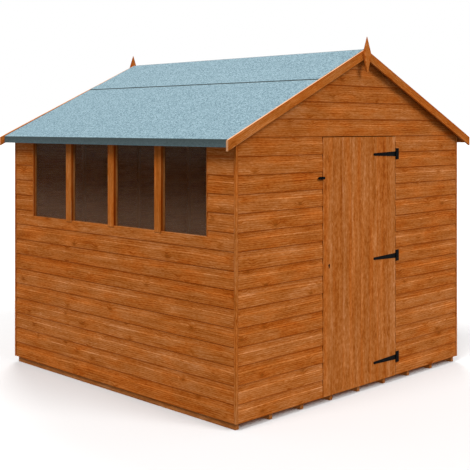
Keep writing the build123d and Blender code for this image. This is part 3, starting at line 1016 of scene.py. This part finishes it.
def timber(node, body, material, seed, edge_wear_and_highlight=0.0, reveal_shade=0.0):
    """Rebuilds the sticks of a node with eased edges, each with the grain along its longest edge; when asked,
    lighter margins along the arrises give wearing and a painted highlight.

    A reveal shade darkens the faces that look along Y, as painted shade.
    """
    draw = random.Random(seed)
    bm = bmesh.new()
    bm.from_mesh(nodes[node].data)
    bm.transform(nodes[node].matrix_world)
    bmesh.ops.remove_doubles(bm, verts=bm.verts, dist=weld_distance)
    bmesh.ops.dissolve_limit(bm, angle_limit=flat_angle, verts=bm.verts, edges=bm.edges)
    sharp = [edge for edge in bm.edges if edge.is_manifold and edge.calc_face_angle() > sharp_angle]
    bmesh.ops.bevel(
        bm, geom=sharp, offset=timber_arris, segments=2, profile=arris_profile,
        affect="EDGES", clamp_overlap=True,
    )
    add_layers(bm)
    grain_layer, tone_layer, edge_layer = wood_layers(bm)
    # Lighter margins along the arrises: wearing and a painted highlight.
    if edge_wear_and_highlight:
        wide = 4 * wear_and_highlight_margin
        faces = [face for face in bm.faces if min(edge.calc_length() for edge in face.edges) > wide]
        bmesh.ops.inset_individual(bm, faces=faces, thickness=wear_and_highlight_margin, use_even_offset=True)
        inside = {vert for face in faces for vert in face.verts}
        for vert in bm.verts:
            vert[edge_layer] = 0.0 if vert in inside else edge_wear_and_highlight
    # Painted shade on the faces that look along Y.
    if reveal_shade:
        for face in bm.faces:
            if abs(face.normal.y) > facing_share:
                for vert in face.verts:
                    vert[edge_layer] = -reveal_shade
    for solid in sorted(islands(bm), key=first_corner):
        tone, shift = board_look(draw)
        edges = {edge for vert in solid for edge in vert.link_edges}
        longest = max(edges, key=lambda edge: (round(edge.calc_length(), 5), edge.verts[0].co[:]))
        along = (longest.verts[1].co - longest.verts[0].co).normalized()
        beside = Vector((0.0, 0.0, 1.0)) if abs(along.z) < upright_share else Vector((1.0, 0.0, 0.0))
        across = (beside - along * beside.dot(along)).normalized()
        into = along.cross(across)
        for vert in solid:
            vert[grain_layer] = Vector((vert.co.dot(along), vert.co.dot(across), vert.co.dot(into))) + shift
            vert[tone_layer] = tone
    finish_piece(bm, f"{node}_timber", body, material, [node], smooth_angle=50)


wall_names = ("left", "right", "front", "back")
frame_nodes = [f"{wall}_wall_{kind}" for wall in wall_names for kind in ("rails", "studs")]
frame_nodes += ["roof_purlins", "ridge_purlin", "eaves_battens"]
for seed, node in enumerate(frame_nodes, start=40):
    timber(node, "shed", frame_wood, seed)
timber("floor_bearers", "shed", frame_wood, seed=59)
timber("door_ledges", "door", frame_wood, seed=60)
timber("door_braces", "door", frame_wood, seed=61)
timber("corner_strips", "shed", cladding_wood, seed=62, edge_wear_and_highlight=corner_wear_and_highlight)
timber(
    "window_mullions", "shed", trim_wood,
    seed=63, edge_wear_and_highlight=mullion_wear_and_highlight, reveal_shade=mullion_reveal_shade,
)

# Window trim


def upright_strip(bm, outline, foot, head, look):
    """Adds an upright strip. The outline holds places in plan and edge values."""
    rings = []
    for up in even_places(foot, head):
        rings.append([(Vector((x, y, up)), (up, y, x), edge) for x, y, edge in outline])
    add_solid(bm, rings, look)


def trim_windows():
    """Linings over the board ends beside the window row, and beads that hold each pane at its sides."""
    draw = random.Random(64)
    bm = new_bmesh()
    face = -half_width - lining_proud
    # Each lining: painted shade on its inner face and a painted highlight on its front arris, weaker on the
    # lining at the high-Y side.
    for side, y, edge_change in ((-1, pane_low.y, 0.0), (1, pane_high.y, -0.8)):
        outer = y + side * lining_thickness
        outline = [
            (-frame_face, y, -0.9),
            (-frame_face, outer, 0.0),
            (face, outer, -0.2),
            (face, y + side * lining_ease, 1.2 + edge_change),
            (face + lining_ease, y, 0.2 + edge_change),
            (face + lining_shade_depth, y, -0.8),
        ]
        upright_strip(bm, outline, pane_low.z, pane_high.z, board_look(draw))
    finish_piece(bm, "window_linings", "shed", cladding_wood)

    sides = []
    for low, high in solid_boxes("window_panes"):
        sides += [(1, low.y), (-1, high.y)]
    bm = new_bmesh()
    glass = pane_low.x
    for inward, y in sorted(sides, key=lambda place: place[1]):
        # Beads in shaded wood, darkest against the stick beside them: painted shade.
        outline = [
            (glass, y, -1.0),
            (glass - bead_depth, y, -1.0),
            (glass - bead_depth, y + inward * 0.35 * bead_width, 0.2),
            (glass - bead_depth, y + inward * 0.80 * bead_width, 0.8),
            (glass - 0.6 * bead_depth, y + inward * 0.96 * bead_width, 0.8),
            (glass, y + inward * bead_width, 0.0),
        ]
        upright_strip(bm, outline, pane_low.z, pane_high.z, board_look(draw))
    finish_piece(bm, "window_beads", "shed", shaded_wood)


trim_windows()

# Gable trim


def bargeboard(end, side, hand, seed):
    """A sloping board at one end of the roof: pale along its top as a painted highlight and pale at its tail,
    with a painted highlight on its lower arris and dark under its upper arris.
    """
    node = f"bargeboard_{end}_{hand}"
    low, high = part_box(node)
    tail = high.x - low.x
    outer, inward = (low.y, 1) if end == "front" else (high.y, -1)
    fall = (high.z - bargeboard_depth - low.z) / tail
    ease = bargeboard_ease
    thick = high.y - low.y
    # Edge values: a painted highlight on the top face and on the outer face's lower arris; darker under the
    # upper arris.
    outline = [
        (0.0, ease, -0.8),
        (ease, 0.0, 1.4),
        (thick - ease, 0.0, 1.5),
        (thick, ease, 0.0),
        (thick, bargeboard_depth - ease, 0.0),
        (thick - ease, bargeboard_depth, -0.2),
        (ease, bargeboard_depth, 0.3),
        (0.0, bargeboard_depth - ease, 0.9),
        (0.0, bargeboard_depth - 3.5 * ease, 0.0),
        (0.0, 5.5 * ease, 0.0),
        (0.0, 3.0 * ease, -0.6),
    ]
    bm = new_bmesh()
    rings = []
    for run in even_places(0.0, tail - ease) + [tail]:
        ring = []
        for into, drop, edge in outline:
            point = Vector((side * run, outer + inward * into, high.z - fall * run - drop))
            if run == tail:
                edge = bargeboard_tail_lightness
            ring.append((point, (run / cos(roof_pitch), drop, into), edge))
        rings.append(ring)
    add_solid(bm, rings, board_look(random.Random(seed)))
    finish_piece(bm, f"{node}_board", "shed", trim_wood, [node])


def finial(end, seed):
    """A kite-shaped finial with eased, darker edges, a blunt foot and a thin sharp tip."""
    node = f"finial_{end}"
    low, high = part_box(node)
    middle = (low.y + high.y) / 2
    half_thick = (high.y - low.y) / 2
    half = high.x
    shoulder = high.z - finial_shoulder
    right = [
        (finial_tip_half, high.z),
        (half, shoulder + finial_shoulder_half),
        (half, shoulder - finial_shoulder_half),
        (finial_foot_half, low.z),
    ]
    outline = right + [(-x, z) for x, z in reversed(right)]
    bm = new_bmesh()
    rings = []
    far_side = [
        (1.0 - finial_ease / half_thick, 0.0, 1.0, finial_rim_darkening),
        (1.0, finial_ease, 1.0, finial_rim_darkening),
        (1.0, finial_ease, finial_spread_share, finial_face_wear),
    ]
    near_side = [(-share, *others) for share, *others in reversed(far_side)]
    for share, shrink, spread, edge in near_side + far_side:
        ring = []
        for x, z in outline:
            width = spread * max(finial_least_half, abs(x) - shrink) * (1 if x > 0 else -1)
            climb = max(0.0, (z - shoulder) / (high.z - shoulder))
            depth = half_thick + (finial_tip_thickness / 2 - half_thick) * climb
            ring.append((Vector((width, middle + share * depth, z)), (z, x, share * depth), edge))
        rings.append(ring)
    add_solid(bm, rings, board_look(random.Random(seed)))
    finish_piece(bm, f"{node}_kite", "shed", trim_wood, [node])


seed = 70
for end in ("front", "back"):
    for side, hand in ((-1, "left"), (1, "right")):
        bargeboard(end, side, hand, seed)
        seed += 1
    finial(end, seed)
    seed += 1

# Felt

deck_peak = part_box("roof_deck_left")[1].z


def deck_top(reach):
    """Height of the roof boards at a distance from the ridge line."""
    return deck_peak - slope * reach


def felt_piece(name, node, outline, low, high, seed):
    """A sheet of felt with the same section all along the roof, a little uneven."""
    bm = new_bmesh()
    rings = []
    along_pace, across_pace = felt_ripple_pace
    for along in even_places(low, high, felt_station_spacing):
        ring = []
        for x, z, edge, slack in outline:
            ripple = slack * noise.noise((along * along_pace, x * across_pace, seed))
            ring.append((Vector((x, along, z + ripple)), (along, x, z), edge))
        rings.append(ring)
    add_solid(bm, rings, (0.0, Vector((0.0, 0.0, 0.0))))
    finish_piece(bm, name, "shed", roof_felt, [node], smooth_angle=40)


def slope_felt(side, hand):
    """Felt of one slope, folded down over the eaves batten."""
    node = f"roof_felt_{hand}"
    low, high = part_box(node)
    face = high.x if side > 0 else -low.x
    head = low.x if side > 0 else -high.x
    cap_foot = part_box("roof_felt_ridge")[1].x
    corner = deck_top(face) + felt_rise
    outer = [(head, 0.0)]
    outer += [(cap_foot + step, edge) for step, edge in lap_line]
    middle = even_places(cap_foot + felt_slope_margin, face - felt_slope_margin, felt_slope_spacing)
    outer += [(reach, 0.0) for reach in middle]
    outer += [(face - inset, edge) for inset, edge in eaves_line]
    points = [(side * reach, deck_top(reach) + felt_rise, edge, felt_slack) for reach, edge in outer]
    points += [(side * (face - inset), corner - drop, edge, fold_slack) for inset, drop, edge in eaves_fold]
    points += [
        (side * face, low.z + hem_height, -0.80, hem_slack),
        (side * face, low.z, -0.75, hem_slack),
        (side * (face - felt_skin), low.z, -0.9, hem_slack),
        (side * (face - felt_skin), deck_top(face - felt_skin), -0.9, 0.0),
        (side * head, deck_top(head) + felt_rise - felt_skin, 0.0, 0.0),
    ]
    felt_piece(f"{node}_sheet", node, points, low.y, high.y, seed=3.0 + side)


def ridge_felt():
    """Cap of felt over the ridge, lapped onto the felt of both slopes."""
    low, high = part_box("roof_felt_ridge")
    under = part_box("roof_felt_right")[0].x
    reaches = [(high.x - inset, cap_lift, edge) for inset, edge in cap_line]
    reaches += [(under + cap_lap_inset, cap_lift, 0.0), (under - cap_step, cap_step_lift, 0.0)]
    reaches += cap_crown
    right = [(reach, deck_top(reach) + felt_rise * lift, edge, cap_slack) for reach, lift, edge in reaches]
    left = [(-x, z, edge, slack) for x, z, edge, slack in reversed(right)]
    bed_rise = felt_rise * cap_bed_lift
    bed = [(high.x, bed_rise), (under, bed_rise), (under - cap_bed_step, cap_bed_gap)]
    lower = [(-reach, deck_top(reach) + rise, -1.0, 0.0) for reach, rise in bed]
    lower.append((0.0, deck_top(0.0) + cap_bed_gap, -1.0, 0.0))
    lower += [(reach, deck_top(reach) + rise, -1.0, 0.0) for reach, rise in reversed(bed)]
    outline = right + left + lower
    felt_piece("roof_felt_ridge_sheet", "roof_felt_ridge", outline, low.y, high.y, seed=9.0)


slope_felt(-1, "left")
slope_felt(1, "right")
ridge_felt()

# Glass and ironwork


def dress(node, material, arris=0.0):
    """Gives a node of the frame its material and, if asked, slightly rounded edges."""
    piece = nodes[node]
    piece.material_slots[0].material = material
    if arris:
        weld = piece.modifiers.new("weld", "WELD")
        weld.merge_threshold = weld_distance
        flatten = piece.modifiers.new("flatten", "DECIMATE")
        flatten.decimate_type = "DISSOLVE"
        flatten.angle_limit = flat_angle
        bevel = piece.modifiers.new("edges", "BEVEL")
        bevel.width = arris
        bevel.segments = 2
        bevel.limit_method = "ANGLE"
        bevel.angle_limit = iron_sharp_angle


dress("window_panes", window_glazing)
for node in ("hinge_plates", "hinge_straps", "turn_button", "turn_button_pin", "door_lock"):
    dress(node, black_iron, iron_arris)


def screws(name, body, places):
    """Round screw heads with a dimple, on faces towards the front."""
    bm = bmesh.new()
    for x, y, z in places:
        rows = []
        for radius_share, rise_share in screw_shares:
            reach = radius_share * screw_radius
            head = y - rise_share * screw_rise
            row = []
            for step in range(screw_sides):
                angle = 2 * pi * step / screw_sides
                row.append(bm.verts.new((x + reach * cos(angle), head, z + reach * sin(angle))))
            rows.append(row)
        join_rows(bm, rows)
    finish_piece(bm, name, body, black_iron, smooth_angle=40)


def screw_hinges():
    """Screws through the hinge plates into the wall, and through the straps into the door."""
    leaf_face = -half_width - hinge_leaf
    plate_places = []
    for low, high in solid_boxes("hinge_plates"):
        middle = (low.z + high.z) / 2
        for inset, rise in plate_screw_places:
            plate_places.append((high.x - inset, leaf_face, middle + rise))
    screws("hinge_plate_screws", "shed", plate_places)
    strap_places = []
    for low, high in solid_boxes("hinge_straps"):
        middle = (low.z + high.z) / 2
        for share in strap_screw_shares:
            strap_places.append((low.x + share * (high.x - low.x), leaf_face, middle))
    screws("hinge_strap_screws", "door", strap_places)


screw_hinges()

# Light, ground and camera


def soft_sun(name, direction, strength, softness):
    """A wide soft light from far away."""
    data = bpy.data.lights.new(name, "SUN")
    data.energy = strength
    data.angle = radians(softness)
    light = add_object(name, data)
    light.rotation_euler = Vector(direction).to_track_quat("-Z", "Y").to_euler()


def white_world(strength):
    """Even white surroundings, seen by the camera as plain white."""
    world = bpy.data.worlds.new("studio")
    world.use_nodes = True
    tree = world.node_tree
    path = put(tree, "ShaderNodeLightPath")
    power = calc(tree, "MAXIMUM", path.outputs["Is Camera Ray"], strength)
    tree.links.new(power, tree.nodes["Background"].inputs["Strength"])
    tree.nodes["Background"].inputs["Color"].default_value = (1.0, 1.0, 1.0, 1.0)
    bpy.context.scene.world = world


def ground(side):
    """Plain pale floor under the shed."""
    bm = bmesh.new()
    bmesh.ops.create_grid(bm, x_segments=1, y_segments=1, size=side / 2)
    mesh = mesh_from(bm, "ground")
    material, _, shader = new_material("ground")
    shader.inputs["Base Color"].default_value = ground_colour
    shader.inputs["Roughness"].default_value = ground_roughness
    shader.inputs["Specular IOR Level"].default_value = ground_specular
    mesh.materials.append(material)
    piece = add_object("ground", mesh)
    piece.visible_diffuse = False


def photo_camera():
    """Level camera with the photograph's angle, place and shift."""
    data = bpy.data.cameras.new("photo")
    data.sensor_width = sensor_width
    data.lens = sensor_width * focal_pixels / image_side
    data.shift_y = -(image_side / 2 - horizon_row) / image_side
    forward = Vector((cos(camera_turn), sin(camera_turn), 0.0))
    right = Vector((sin(camera_turn), -cos(camera_turn), 0.0))
    corner = Vector((-half_width, -half_width, camera_height))
    camera = add_object("photo", data)
    camera.location = corner - forward * near_corner_distance - right * near_corner_offset
    camera.rotation_euler = (pi / 2, 0.0, camera_turn - pi / 2)
    bpy.context.scene.camera = camera


white_world(surround_strength)
ground(ground_side)
for name, direction, strength, softness in suns:
    soft_sun(name, direction, strength, softness)
photo_camera()
bpy.context.scene.view_settings.view_transform = "Standard"
